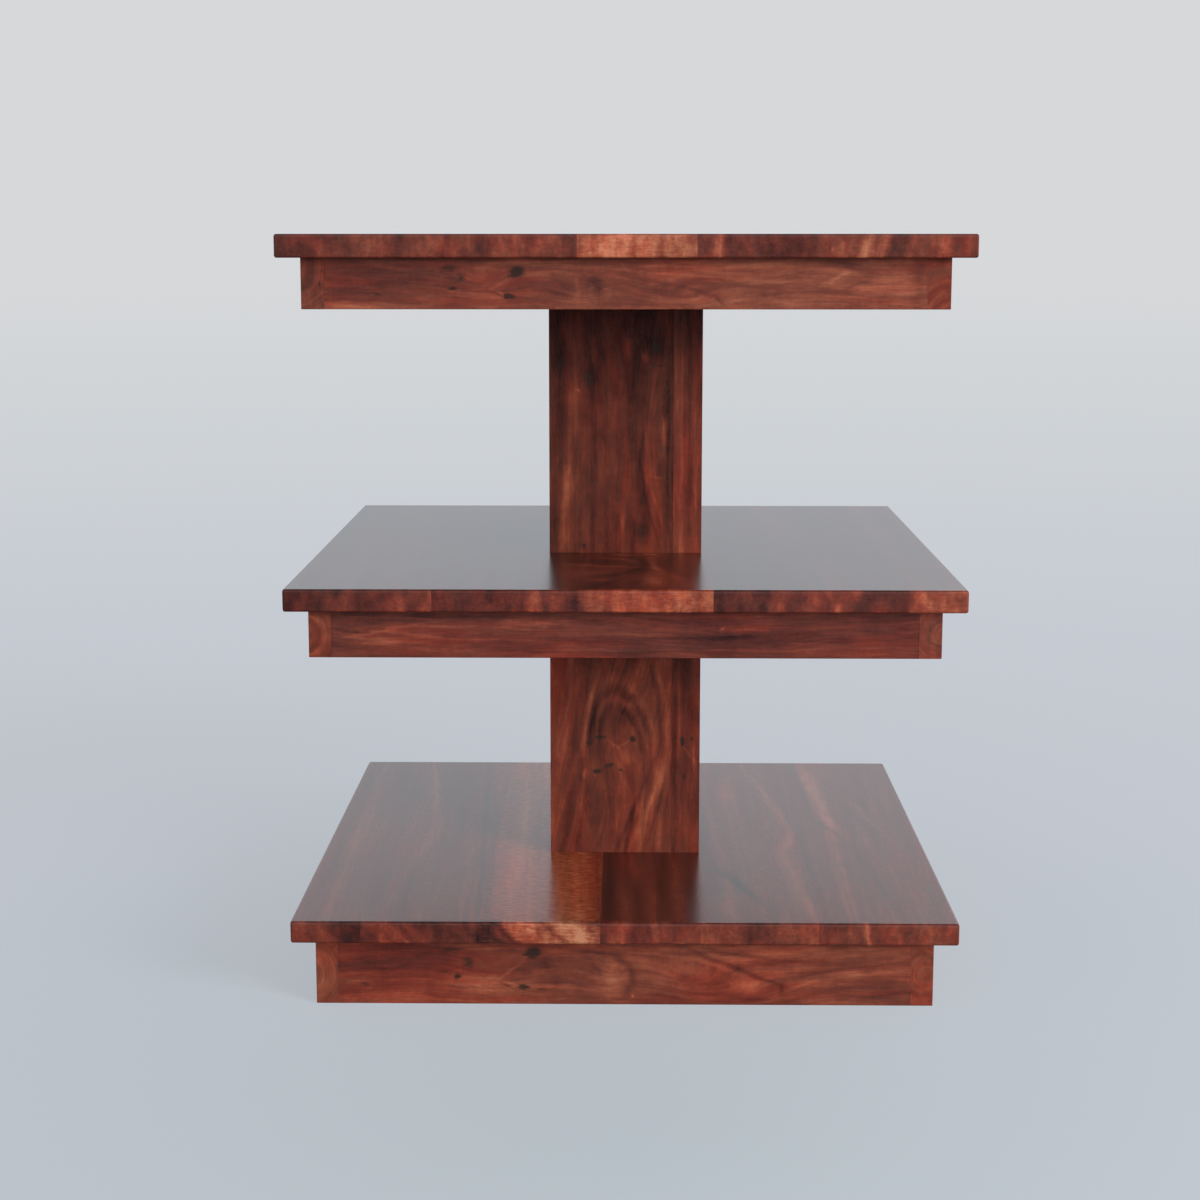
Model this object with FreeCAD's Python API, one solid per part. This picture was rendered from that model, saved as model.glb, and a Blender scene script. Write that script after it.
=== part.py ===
import FreeCAD, Part
import math
import os
from FreeCAD import Vector

# Three-tier bedside table in solid sheesham wood.
# Three square shelves stand on one central box column, each shelf on its own rail frame.
# The frame of the lowest shelf is the plinth that stands on the floor.
# Origin: centre of the footprint, on the floor. +X right, +Y to the back, +Z up. Millimetres.

# Shelves
shelf_side = 550.0
shelf_thickness = 18.5
shelf_edge_radius = 2.0
# Plank joints of each shelf, as shares of its width from the left. The planks run front to back.
bottom_joint_shares = (0.105, 0.282, 0.464, 0.615, 0.791)
middle_joint_shares = (0.218, 0.391, 0.629, 0.773, 0.913)
top_joint_shares = (0.155, 0.285, 0.431, 0.602, 0.791)

# Rail frames under the shelves
shelf_overhang = 18.0
rail_thickness = 18.5
plinth_rail_height = 58.0
shelf_rail_height = 40.5
arris_radius = 0.6

# Clear heights for what stands on the two lower shelves
lower_bay_height = 218.0
upper_bay_height = 222.0

# Column: four boards, each lapping the edge of the next, with a block closing each end
column_side = 135.5
column_board_thickness = 25.5
end_block_height = 30.0

# Bearers that cross each frame under its shelf, and the corner blocks, of the same stock
bearer_thickness = 25.5
corner_block_leg = 42.0

# Dowels
dowel_diameter = 8.0
frame_dowel_length = 30.0
dowel_clearance = 0.1
dowel_end_gap = 0.3
rail_dowel_height_shares = (0.3, 0.7)
bearer_dowel_width_shares = (-0.3, 0.3)
column_dowel_place_shares = (-0.33, 0.33)
blind_bore_share = 0.65

# Wood screws that hold the shelves down from below
screw_shank_diameter = 4.0
screw_head_diameter = 8.0
screw_head_height = 2.6
screw_slot_width = 1.0
screw_slot_depth = 1.1
screw_clearance = 0.1
screw_bite_share = 0.62
bearer_screw_place_shares = (-0.82, -0.5, 0.5, 0.82)
block_screw_place_share = 0.33

# Tie rod through the whole column, with a nut and washer let into the bearer at each end
rod_diameter = 10.0
rod_clearance = 0.5
rod_end_past_nut = 2.0
nut_sides = 6
nut_across_flats = 16.0
nut_height = 8.0
nut_bore_clearance = 0.05
washer_diameter = 30.0
washer_thickness = 2.5
pocket_side_clearance = 0.5
pocket_spare_depth = 1.0

# Levels, from the floor up
plinth_top = plinth_rail_height
bottom_shelf_top = plinth_top + shelf_thickness
middle_frame_bottom = bottom_shelf_top + lower_bay_height
middle_frame_top = middle_frame_bottom + shelf_rail_height
middle_shelf_top = middle_frame_top + shelf_thickness
top_frame_bottom = middle_shelf_top + upper_bay_height
top_frame_top = top_frame_bottom + shelf_rail_height

# Half sizes in plan that many pieces share
shelf_half = shelf_side / 2
frame_half = shelf_half - shelf_overhang
frame_inner_half = frame_half - rail_thickness
column_half = column_side / 2
cavity_half = column_half - column_board_thickness

rod_radius = rod_diameter / 2
rod_hole_radius = rod_radius + rod_clearance
dowel_radius = dowel_diameter / 2
pocket_depth = washer_thickness + nut_height + rod_end_past_nut + pocket_spare_depth
shelf_bore_depth = blind_bore_share * shelf_thickness
block_bore_depth = blind_bore_share * end_block_height
bearer_bore_depth = blind_bore_share * bearer_thickness
rail_bore_depth = blind_bore_share * rail_thickness

up = Vector(0, 0, 1)
corner_signs = ((-1, -1), (1, -1), (1, 1), (-1, 1))


def block(x_low, x_high, y_low, y_high, z_low, z_high):
    size = (x_high - x_low, y_high - y_low, z_high - z_low)
    return Part.makeBox(*size, Vector(x_low, y_low, z_low))


def round_bar(radius, start, end):
    run = end - start
    return Part.makeCylinder(radius, run.Length, start, run)


def eased(solid, radius, wanted):
    """The solid with the wanted edges rounded."""
    return solid.makeFillet(radius, [edge for edge in solid.Edges if wanted(edge)])


def cut_all(solid, cutters):
    return solid.cut(Part.Compound(cutters)) if cutters else solid


def save(node, solids):
    """Writes one named node. Its pieces are separate solids."""
    shape = solids[0] if len(solids) == 1 else Part.Compound(solids)
    shape.exportStep(os.path.join("parts", node + ".step"))


def is_vertical(edge):
    box = edge.BoundBox
    return box.ZLength > max(box.XLength, box.YLength)


# Fasteners. Each gives its own solid, and the hole that it needs with its clearance.
def dowel(start, end, end_gap=dowel_end_gap):
    inset = (end - start).normalize() * end_gap
    return round_bar(dowel_radius, start + inset, end - inset)


def dowel_hole(start, end):
    return round_bar(dowel_radius + dowel_clearance, start, end)


def screw_solid(head_centre, length, clearance):
    """A countersunk screw pointing up, its head flush at head_centre."""
    shank_radius = screw_shank_diameter / 2 + clearance
    head_radius = screw_head_diameter / 2 + clearance
    shank = round_bar(shank_radius, head_centre, head_centre + up * length)
    head = Part.makeCone(head_radius, shank_radius, screw_head_height, head_centre, up)
    return shank.fuse(head)


def screw(head_centre, length):
    slot_half = screw_slot_width / 2
    head_radius = screw_head_diameter / 2
    slot = block(-head_radius, head_radius, -slot_half, slot_half, 0, screw_slot_depth)
    slot.translate(head_centre)
    return screw_solid(head_centre, length, 0).cut(slot)


def screw_hole(head_centre, length):
    return screw_solid(head_centre, length, screw_clearance)


# One tier: the shelf of planks, its rail frame, its bearer and corner blocks, and what fastens them
def screw_places():
    """Plan position of each screw: four along the bearer, one in each corner block."""
    along_bearer = [(share * frame_inner_half, 0) for share in bearer_screw_place_shares]
    from_centre = frame_inner_half - block_screw_place_share * corner_block_leg
    in_blocks = [(sx * from_centre, sy * from_centre) for sx, sy in corner_signs]
    return along_bearer + in_blocks


def frame_dowel_ends(frame_bottom, frame_top):
    """Start and end of each dowel along X, for the rail joints and the bearer ends."""
    height = frame_top - frame_bottom
    outer_end = frame_inner_half + rail_bore_depth
    inner_end = outer_end - frame_dowel_length
    rail_middle = frame_half - rail_thickness / 2
    places = [
        (sign * rail_middle, frame_bottom + share * height)
        for sign in (-1, 1)
        for share in rail_dowel_height_shares
    ]
    bearer_middle = frame_top - bearer_thickness / 2
    places += [(share * column_side, bearer_middle) for share in bearer_dowel_width_shares]
    return [
        (Vector(side * inner_end, y, z), Vector(side * outer_end, y, z))
        for side in (-1, 1)
        for y, z in places
    ]


def plank_bounds(joint_shares):
    """Left and right side of each plank."""
    sides = [-shelf_half] + [share * shelf_side - shelf_half for share in joint_shares] + [shelf_half]
    return list(zip(sides[:-1], sides[1:]))


def shelf_planks(underside, joint_shares, holes):
    topside = underside + shelf_thickness
    panel = block(-shelf_half, shelf_half, -shelf_half, shelf_half, underside, topside)
    panel = cut_all(eased(panel, shelf_edge_radius, lambda edge: True), holes)
    return [
        panel.common(block(left, right, -shelf_half, shelf_half, underside, topside))
        for left, right in plank_bounds(joint_shares)
    ]


def frame_rails(frame_bottom, frame_top, holes):
    """Front and back rails fit between the side rails, whose end grain shows at the corners."""

    def outer_arris(edge):
        centre = edge.BoundBox.Center
        outside = max(abs(centre.x), abs(centre.y)) > frame_half - arris_radius
        low = edge.BoundBox.ZMax < frame_bottom + arris_radius
        return outside and (is_vertical(edge) or low)

    outside = block(-frame_half, frame_half, -frame_half, frame_half, frame_bottom, frame_top)
    inside = block(
        -frame_inner_half, frame_inner_half, -frame_inner_half, frame_inner_half, frame_bottom, frame_top
    )
    ring = cut_all(eased(outside, arris_radius, outer_arris).cut(inside), holes)
    spans = {
        "front_rail": (-frame_inner_half, frame_inner_half, -frame_half, -frame_inner_half),
        "back_rail": (-frame_inner_half, frame_inner_half, frame_inner_half, frame_half),
        "left_rail": (-frame_half, -frame_inner_half, -frame_half, frame_half),
        "right_rail": (frame_inner_half, frame_half, -frame_half, frame_half),
    }
    return {name: ring.common(block(*span, frame_bottom, frame_top)) for name, span in spans.items()}


def corner_blocks(frame_top, holes):
    """Three-sided blocks glued in the four inner corners, flush under the shelf."""
    low = frame_top - bearer_thickness
    blocks = []
    for sx, sy in corner_signs:
        x, y = sx * frame_inner_half, sy * frame_inner_half
        corners = [
            Vector(x, y, low),
            Vector(x - sx * corner_block_leg, y, low),
            Vector(x, y - sy * corner_block_leg, low),
        ]
        prism = Part.Face(Part.makePolygon(corners + corners[:1])).extrude(up * bearer_thickness)
        blocks.append(cut_all(prism, holes))
    return blocks


def nut_pocket(seat, direction):
    """Round pocket that takes a nut and washer, from the seat outwards."""
    return round_bar(washer_diameter / 2 + pocket_side_clearance, seat, seat + direction * pocket_depth)


def column_dowel_ends(joint, depth_below, depth_above):
    """Two upright dowels that keep a column from turning, across the joint at that height."""
    places = [share * 2 * cavity_half for share in column_dowel_place_shares]
    return [(Vector(0, y, joint - depth_below), Vector(0, y, joint + depth_above)) for y in places]


def tier(name, frame_bottom, frame_top, joint_shares, upright_holes, pockets):
    """Builds and saves one tier. upright_holes are those of the rod and the column dowels."""
    low = frame_top - bearer_thickness
    length = bearer_thickness + screw_bite_share * shelf_thickness
    heads = [Vector(x, y, low) for x, y in screw_places()]
    screw_holes = [screw_hole(head, length) for head in heads]
    dowel_ends = frame_dowel_ends(frame_bottom, frame_top)
    dowel_holes = [dowel_hole(*ends) for ends in dowel_ends]

    frame_name = "plinth" if name == "bottom" else name + "_frame"
    shelf_holes = screw_holes + ([] if name == "top" else upright_holes)
    for number, plank in enumerate(shelf_planks(frame_top, joint_shares, shelf_holes), 1):
        save(f"{name}_shelf_plank_{number}", [plank])
    for rail_name, rail in frame_rails(frame_bottom, frame_top, dowel_holes).items():
        save(f"{frame_name}_{rail_name}", [rail])
    bearer = block(-frame_inner_half, frame_inner_half, -column_half, column_half, low, frame_top)
    bearer = cut_all(bearer, screw_holes + dowel_holes + upright_holes + pockets)
    save(f"{frame_name}_bearer", [bearer])
    save(f"{frame_name}_corner_blocks", corner_blocks(frame_top, screw_holes))
    save(f"{frame_name}_dowels", [dowel(*ends) for ends in dowel_ends])
    save(f"{name}_shelf_screws", [screw(head, length) for head in heads])


def column(name, bottom, top, upright_holes):
    """Four boards round a square cavity: each covers one edge of the next, like a pinwheel."""
    tube = block(-column_half, column_half, -column_half, column_half, bottom, top)
    tube = eased(tube, arris_radius, is_vertical)
    tube = tube.cut(block(-cavity_half, cavity_half, -cavity_half, cavity_half, bottom, top))
    spans = {
        "front": (-column_half, cavity_half, -column_half, -cavity_half),
        "right": (cavity_half, column_half, -column_half, cavity_half),
        "back": (-cavity_half, column_half, cavity_half, column_half),
        "left": (-column_half, -cavity_half, -cavity_half, column_half),
    }
    for side, span in spans.items():
        save(f"{name}_column_{side}_board", [tube.common(block(*span, bottom, top))])
    ends = {"bottom": (bottom, bottom + end_block_height), "top": (top - end_block_height, top)}
    for end, (low, high) in ends.items():
        plug = block(-cavity_half, cavity_half, -cavity_half, cavity_half, low, high)
        save(f"{name}_column_{end}_block", [cut_all(plug, upright_holes)])


def hex_nut(low):
    step = math.tau / nut_sides
    corner_radius = nut_across_flats / 2 / math.cos(step / 2)
    angles = [step * side for side in range(nut_sides)]
    corners = [Vector(corner_radius * math.cos(a), corner_radius * math.sin(a), low) for a in angles]
    body = Part.Face(Part.makePolygon(corners + corners[:1])).extrude(up * nut_height)
    bore_radius = rod_radius + nut_bore_clearance
    return body.cut(round_bar(bore_radius, up * low, up * (low + nut_height)))


def washer(low):
    high = low + washer_thickness
    disc = round_bar(washer_diameter / 2, up * low, up * high)
    return disc.cut(round_bar(rod_hole_radius, up * low, up * high))


def build():
    os.makedirs("parts", exist_ok=True)
    lower_column_top = middle_frame_top - bearer_thickness
    upper_column_top = top_frame_top - bearer_thickness

    # The rod clamps the stack between a seat in the plinth bearer and one in the top bearer.
    low_seat = plinth_top - bearer_thickness + pocket_depth
    high_seat = top_frame_top - pocket_depth
    past_seat = washer_thickness + nut_height + rod_end_past_nut
    rod_ends = (up * (low_seat - past_seat), up * (high_seat + past_seat))
    rod_hole = round_bar(rod_hole_radius, up * (plinth_top - bearer_thickness), up * top_frame_top)
    low_pocket = nut_pocket(up * low_seat, -up)
    high_pocket = nut_pocket(up * high_seat, up)

    # Joints that the column dowels cross, with the bore depth below and above each
    dowel_joints = (
        (bottom_shelf_top, shelf_bore_depth, block_bore_depth),
        (lower_column_top, block_bore_depth, bearer_bore_depth),
        (middle_shelf_top, shelf_bore_depth, block_bore_depth),
        (upper_column_top, block_bore_depth, bearer_bore_depth),
    )
    dowel_ends = [ends for joint in dowel_joints for ends in column_dowel_ends(*joint)]
    upright_holes = [rod_hole] + [dowel_hole(*ends) for ends in dowel_ends]

    tier("bottom", 0, plinth_top, bottom_joint_shares, upright_holes, [low_pocket])
    tier("middle", middle_frame_bottom, middle_frame_top, middle_joint_shares, upright_holes, [])
    tier("top", top_frame_bottom, top_frame_top, top_joint_shares, upright_holes, [high_pocket])
    column("lower", bottom_shelf_top, lower_column_top, upright_holes)
    column("upper", middle_shelf_top, upper_column_top, upright_holes)

    save("column_dowels", [dowel(*ends) for ends in dowel_ends])
    save("tie_rod", [round_bar(rod_radius, *rod_ends)])
    low_nut_top = low_seat - washer_thickness
    save("tie_rod_nuts", [hex_nut(low_nut_top - nut_height), hex_nut(high_seat + washer_thickness)])
    save("tie_rod_washers", [washer(low_nut_top), washer(high_seat)])


build()
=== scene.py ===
import math
import random

import bpy
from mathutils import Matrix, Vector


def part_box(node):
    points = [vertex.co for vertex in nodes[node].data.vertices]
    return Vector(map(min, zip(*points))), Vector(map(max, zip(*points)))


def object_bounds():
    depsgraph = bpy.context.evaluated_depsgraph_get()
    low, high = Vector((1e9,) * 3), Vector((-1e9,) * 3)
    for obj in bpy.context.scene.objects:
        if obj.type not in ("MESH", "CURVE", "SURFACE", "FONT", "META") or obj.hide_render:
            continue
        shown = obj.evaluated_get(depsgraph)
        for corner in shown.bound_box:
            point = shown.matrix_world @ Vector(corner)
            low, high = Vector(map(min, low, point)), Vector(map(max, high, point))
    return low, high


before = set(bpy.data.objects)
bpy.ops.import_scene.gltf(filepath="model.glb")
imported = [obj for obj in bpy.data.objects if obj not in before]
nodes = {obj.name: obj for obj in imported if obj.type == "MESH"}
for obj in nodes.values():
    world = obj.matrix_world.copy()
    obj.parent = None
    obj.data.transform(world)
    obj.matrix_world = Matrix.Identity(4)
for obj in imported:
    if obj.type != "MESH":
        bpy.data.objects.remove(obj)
cadLow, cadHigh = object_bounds()
toMillimetres = 1000.0
print("frame loaded,", len(nodes), "nodes")


# A value that comes out of a node, so that shader maths reads as plain maths
class Value:
    def __init__(self, finish, socket):
        self.finish = finish
        self.socket = socket

    def maths(self, operation, *others):
        return self.finish.add("Math", {"operation": operation}, dict(enumerate((self, *others))))

    def __add__(self, other):
        return self.maths("ADD", other)

    def __sub__(self, other):
        return self.maths("SUBTRACT", other)

    def __mul__(self, other):
        return self.maths("MULTIPLY", other)

    def __truediv__(self, other):
        return self.maths("DIVIDE", other)

    def __rsub__(self, other):
        return self.maths("MULTIPLY_ADD", -1.0, other)

    def __neg__(self):
        return self.maths("MULTIPLY", -1.0)

    __radd__ = __add__
    __rmul__ = __mul__

    def plus(self, other, share):  # this and a share of the other
        return other.maths("MULTIPLY_ADD", share, self)

    def size(self):
        return self.maths("ABSOLUTE")

    def atLeast(self, other):
        return self.maths("MAXIMUM", other)

    def decay(self):  # e to the power of minus this
        return self.finish.add("Math", {"operation": "POWER"}, {0: math.exp(-1.0), 1: self})

    def rise(self, start, end):  # 0 before start, 1 after end, smooth between
        limits = {"Value": self, "From Min": start, "From Max": end}
        return self.finish.add("MapRange", {"interpolation_type": "SMOOTHSTEP"}, limits)


# One material or sky, and its nodes
class Finish:
    def __init__(self, owner):
        owner.use_nodes = True
        self.owner = owner
        self.tree = owner.node_tree
        self.tree.nodes.clear()

    def add(self, kind, settings=None, inputs=None, output=0):
        node = self.tree.nodes.new("ShaderNode" + kind)
        for name, value in (settings or {}).items():
            if name == "stops":
                fillRamp(node.color_ramp, value)
            else:
                setattr(node, name, value)
        for name, value in (inputs or {}).items():
            if isinstance(value, Value):
                self.tree.links.new(value.socket, node.inputs[name])
            else:
                node.inputs[name].default_value = value
        return Value(self, node.outputs[output])

    # A kind of noise is its scales in millimetres, the numbers of the places that the key shifts,
    # and its detail. It runs from 0 to 1, so less a half it swings both ways.
    def noise(self, kind, places, key=0.0, roughness=0.5):
        scales, shifted, detail = kind
        places = [place / scale for place, scale in zip(places, scales)]
        for number in shifted:
            places[number] = places[number] + key
        vector = self.add("CombineXYZ", inputs=dict(enumerate(places)))
        inputs = {"Vector": vector, "Scale": 1.0, "Detail": detail, "Roughness": roughness}
        return self.add("TexNoise", inputs=inputs)

    def ramp(self, value, stops):
        return self.add("ValToRGB", {"stops": stops}, {"Fac": value})

    def blend(self, share, first, second, mode="MIX"):
        # the colours of a Mix node are its inputs 6 and 7 and its output 2
        settings = {"data_type": "RGBA", "blend_type": mode, "clamp_factor": True}
        return self.add("Mix", settings, {0: share, 6: first, 7: second}, output=2)

    def show(self, shader, kind="OutputMaterial"):
        out = self.tree.nodes.new("ShaderNode" + kind)
        self.tree.links.new(shader.socket, out.inputs["Surface"])


def newFinish(name):
    return Finish(bpy.data.materials.new(name))


def fillRamp(ramp, stops):
    while len(ramp.elements) > 1:
        ramp.elements.remove(ramp.elements[-1])
    for number, (position, colour) in enumerate(stops):
        element = ramp.elements[0] if number == 0 else ramp.elements.new(position)
        element.position = position
        element.color = (*colour, 1.0)


def millimetres(finish):  # place in a piece, along x, y and z
    place = finish.add("TexCoord", output="Object")
    place = finish.add("VectorMath", {"operation": "SCALE"}, {0: place, "Scale": toMillimetres})
    return [finish.add("SeparateXYZ", inputs={0: place}, output=axis) for axis in ("X", "Y", "Z")]


def wear(node, finish):
    slots = nodes[node].data.materials
    slots.clear()
    slots.append(finish.owner)


# Camera at the photograph's viewing angle
cameraView = {
    "place": (0.0038, -1.9849, 0.6338),
    "lens": 65.0,
    "sensor": 36.0,
    "lookDown": 9.570,
    "lookLeft": 0.793,
}


def makeCamera():
    lens = bpy.data.cameras.new("camera")
    lens.lens = cameraView["lens"]
    lens.sensor_width = cameraView["sensor"]
    camera = bpy.data.objects.new("camera", lens)
    bpy.context.scene.collection.objects.link(camera)
    camera.location = cameraView["place"]
    tilt = math.radians(90.0 - cameraView["lookDown"])
    camera.rotation_euler = (tilt, 0.0, math.radians(cameraView["lookLeft"]))
    bpy.context.scene.camera = camera
    print("camera made")


# Studio: a floor that fades into the sky, with a painted soft shadow in front of the object, soft light
# low all round, and a weak key lamp.
# A direction's height is 0 at the horizon and 1 straight up.
studio = {
    "floorReach": 40.0,
    "floorCorners": 96,
    # the floor's colour is darkest here, in front of the object: a painted soft shadow
    "paintedShadowMiddle": (0.0, -0.55, 0.0),
    "fadeDistance": 2.0,
    "floorTones": [  # from the darkest place, the middle of the painted shadow, to where the floor ends
        (0.00, (0.606, 0.670, 0.722)),
        (0.55, (0.651, 0.681, 0.742)),
        (0.80, (0.668, 0.697, 0.722)),
        (1.00, (0.679, 0.686, 0.701)),
    ],
    "ownLight": 0.54,  # share of the floor's colour at its darkest place that no shadow reaches
    "floorBounce": 0.32,  # what the floor throws onto the object, as a share of its darkest colour
    "floorInGloss": 0.3,  # what a reflection sees of the floor where it ends
    "skyInGloss": (0.640, 0.690, 0.740),
    "glossLow": 1.28,  # strength of the reflected sky behind, under its pale band and in it
    "glossHigh": 1.84,
    "glossRise": (0.175, 0.245),  # heights where the band begins, and where it fades upwards
    "glossFall": (0.26, 0.38),
    "glossFallShare": 0.60,
    "frontGloss": 0.1,
    "frontLight": 3.0,
    "frontBand": (0.14, 0.46),  # heights between which the light fades out upwards
    "roundLight": 4.2,
    "roundBand": (0.10, 0.34),
    "frontTurn": (-0.1, 0.7),  # how far forwards a direction points, from none to all of the front
    "overhead": 0.22,
    "key": {"place": (2.4, -2.3, 1.1), "aim": (0.0, 0.0, 0.3), "width": 1.4, "power": 80.0},
}


def makeFloor():
    bpy.ops.object.select_all(action="DESELECT")
    bpy.ops.mesh.primitive_circle_add(
        vertices=studio["floorCorners"],
        radius=studio["floorReach"],
        fill_type="NGON",
        location=(0.0, 0.0, cadLow.z),
    )
    floor = bpy.context.active_object
    floor.name = "floor"
    paint = newFinish("studioFloor")
    place = paint.add("TexCoord", output="Object")
    ends = {0: place, 1: studio["paintedShadowMiddle"]}
    distance = paint.add("VectorMath", {"operation": "DISTANCE"}, ends, output="Value")
    fade, reach = studio["fadeDistance"], studio["floorReach"]
    share = distance * (1.0 + fade / reach) / (distance + fade)  # 1 where the floor ends
    # the floor's colour, darker towards the painted shadow in front of the object
    colour = paint.ramp(share, studio["floorTones"])
    # a reflection sees the floor less, the nearer it is to its darkest place
    glossy = paint.add("LightPath", output="Is Glossy Ray") * share * studio["floorInGloss"]
    seen = paint.add("LightPath", output="Is Camera Ray").atLeast(glossy)
    darkest = studio["floorTones"][0][1]
    dim = [studio["floorBounce"] * part for part in darkest] + [1.0]
    bounce = paint.blend(seen, dim, colour)
    lit = paint.add("BsdfDiffuse", inputs={"Color": bounce})
    shown = paint.add("Emission", inputs={"Color": colour})
    ownLight = share * (1.0 - studio["ownLight"]) + studio["ownLight"]
    paint.show(paint.add("MixShader", inputs={0: seen * ownLight, 1: lit, 2: shown}))
    floor.data.materials.append(paint.owner)


def makeSky():
    sky = Finish(bpy.data.worlds.new("studioSky"))
    bpy.context.scene.world = sky.owner
    direction = sky.add("TexCoord", output="Generated")
    backwards = sky.add("SeparateXYZ", inputs={0: direction}, output="Y")
    height = sky.add("SeparateXYZ", inputs={0: direction}, output="Z")
    front = (-backwards).rise(*studio["frontTurn"])
    frontLight = (1.0 - height.rise(*studio["frontBand"])) * studio["frontLight"]
    roundLight = (1.0 - height.rise(*studio["roundBand"])) * studio["roundLight"]
    light = front * frontLight + (1.0 - front) * roundLight + studio["overhead"]
    camera = sky.add("LightPath", output="Is Camera Ray")
    glossy = sky.add("LightPath", output="Is Glossy Ray")
    rise = studio["glossHigh"] - studio["glossLow"]
    backShine = height.rise(*studio["glossRise"]) * rise + studio["glossLow"]
    backShine = backShine * (1.0 - height.rise(*studio["glossFall"]) * studio["glossFallShare"])
    shine = (1.0 - front) * backShine + front * studio["frontGloss"]
    strength = camera + glossy * shine + (1.0 - camera.atLeast(glossy)) * light
    horizon = studio["floorTones"][-1][1]
    colour = sky.blend(glossy, (*horizon, 1.0), (*studio["skyInGloss"], 1.0))
    sky.show(sky.add("Background", inputs={"Color": colour, "Strength": strength}), "OutputWorld")


def makeKeyLamp():
    key = studio["key"]
    lamp = bpy.data.lights.new("key", "AREA")
    lamp.size = key["width"]
    lamp.energy = key["power"]
    lampObject = bpy.data.objects.new("key", lamp)
    bpy.context.scene.collection.objects.link(lampObject)
    lampObject.location = key["place"]
    lampObject.visible_glossy = False
    aim = [a - b for a, b in zip(key["aim"], key["place"])]
    drop = math.atan2(math.hypot(aim[0], aim[1]), -aim[2])
    lampObject.rotation_euler = (drop, 0.0, math.atan2(-aim[0], aim[1]))


# Sheesham under a red stain, from its black heart lines to the pale sapwood
woodTones = [
    (0.00, (0.016, 0.007, 0.006)),
    (0.20, (0.050, 0.015, 0.012)),
    (0.40, (0.115, 0.028, 0.019)),
    (0.56, (0.188, 0.041, 0.024)),
    (0.72, (0.300, 0.070, 0.036)),
    (0.86, (0.440, 0.128, 0.062)),
    (1.00, (0.590, 0.220, 0.115)),
]
blackHeart = (0.028, 0.021, 0.017, 1.0)
# what the colour is multiplied by, from redder to browner streaks
hueCasts = [(0.36, (1.06, 0.84, 0.84)), (0.48, (1.01, 0.99, 1.0)), (0.62, (0.94, 1.08, 1.10))]
# the colour of the painted highlight line under a shelf's top arris
paintedSheenColour = (0.42, 0.38, 0.41, 1.0)

# What every board shares. A board's own figure overrides these. Lengths in millimetres,
# places as (along the grain, across it), tones from 0 black heart to 1 pale sapwood.
plainFigure = {
    "tone": 0.52,
    "heart": None,  # middle of the tree, across and behind the middle of the board
    "tilt": 0.0,  # lean of the rings through the thickness
    "lean": 0.0,  # lean of the grain along the board
    "reach": 1.0,  # how long the streaks are
    "wander": 8.0,
    "broad": 0.20,
    "flame": 0.16,
    "streak": 0.11,
    "thread": 0.08,
    "fibre": 0.06,
    "mottle": 0.20,
    "grit": 0.62,  # how fine the mottling is
    "calm": 1.0,  # share of the flames and the mottling that shows away from the end grain
    "ripple": 0.04,
    "pores": 0.25,
    "roughness": 0.25,
    "gloss": 0.12,
    "relief": 0.05,
    "cast": None,  # what the colour is multiplied by
    "endCast": None,  # the same, where the end grain of a striped board shows
    "stripes": [],  # place across, tone
    "endStripes": [],  # the same, where the end grain shows
    "eyes": [],  # along, across, half length, half width, push of the grain, turn
    "knots": [],  # along, across, half length, half width, turn, strength
    "clouds": [],  # along, across, half length, half width, lift of the tone, turn if any
    "strokes": [],  # along and across at both ends, width, lift of the tone
    "arches": [],  # along, across, half length, half width, width of the line, lift, turn
    "endKnots": [],  # along, across, depth, half length, half width, half depth, strength
}

# The noises of the figure. A kind is scales, shifted places and detail, as Finish.noise takes it.
grainNoises = {
    # along the grain, across it and through the thickness
    "bend": ((190.0, 75.0, 80.0), (0, 2), 1.0),
    "wiggle": ((34.0, 15.0, 15.0), (0,), 2.0),
    "fray": ((7.0, 3.2, 8.0), (1,), 2.0),
    "mottle": ((26.0, 13.0, 12.0), (1,), 4.0),
    "slow": ((120.0, 40.0, 40.0), (0, 1), 0.0),
    # across the bent rings, along the grain and through the thickness
    "broad": ((13.0, 420.0, 60.0), (0, 2), 1.0),
    "flame": ((6.5, 50.0, 13.0), (1,), 1.5),
    "streak": ((3.0, 34.0, 3.2), (0,), 1.5),
    "thread": ((1.15, 20.0, 1.4), (1,), 1.0),
    "fibre": ((0.8, 6.0, 0.9), (1,), 1.0),
    "hue": ((5.0, 60.0, 9.0), (1,), 1.0),
    "ripple": ((8.0, 3.6, 1.3), (2,), 1.0),
    "pores": ((0.8, 8.0, 0.8), (1,), 0.0),
}

# How far the wiggle of the grain, and then its fray, pulls a mark along it and across it
markPulls = {
    "marks": ((8.0, 4.0), (7.0, 4.0)),
    "strokes": ((8.0, 3.0), (2.5, 1.2)),
    "shelfStrokes": ((9.0, 4.0), (4.0, 1.6)),
    "knots": ((0.0, 0.0), (5.0, 3.0)),
}

boardLook = {
    "keyStep": 7.31,  # how far apart two boards lie in the noise
    "wiggle": 3.0,
    "heartLayer": 0.2,  # how fast the layers change through the thickness of a board with a heart
    "strokeShare": 0.6,  # half length of a stroke's hill, as a share of the stroke
    "archRise": (-0.15, 0.45),  # where an arch begins and is full, as shares of its half length
    "slowHue": 0.5,  # share of the hue that changes slowly over the board
    "mottleRoughness": 0.04,
    "poreRoughness": 0.06,
    "poreEdge": (0.62, 0.74),
    "fibreRelief": 0.3,
    "bumpDistance": 0.0001,
    "knotFray": 0.9,
    "knotStreak": 0.5,
    "knotEdge": (0.16, 0.95),
    "knotDarkness": 0.9,
}

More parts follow.
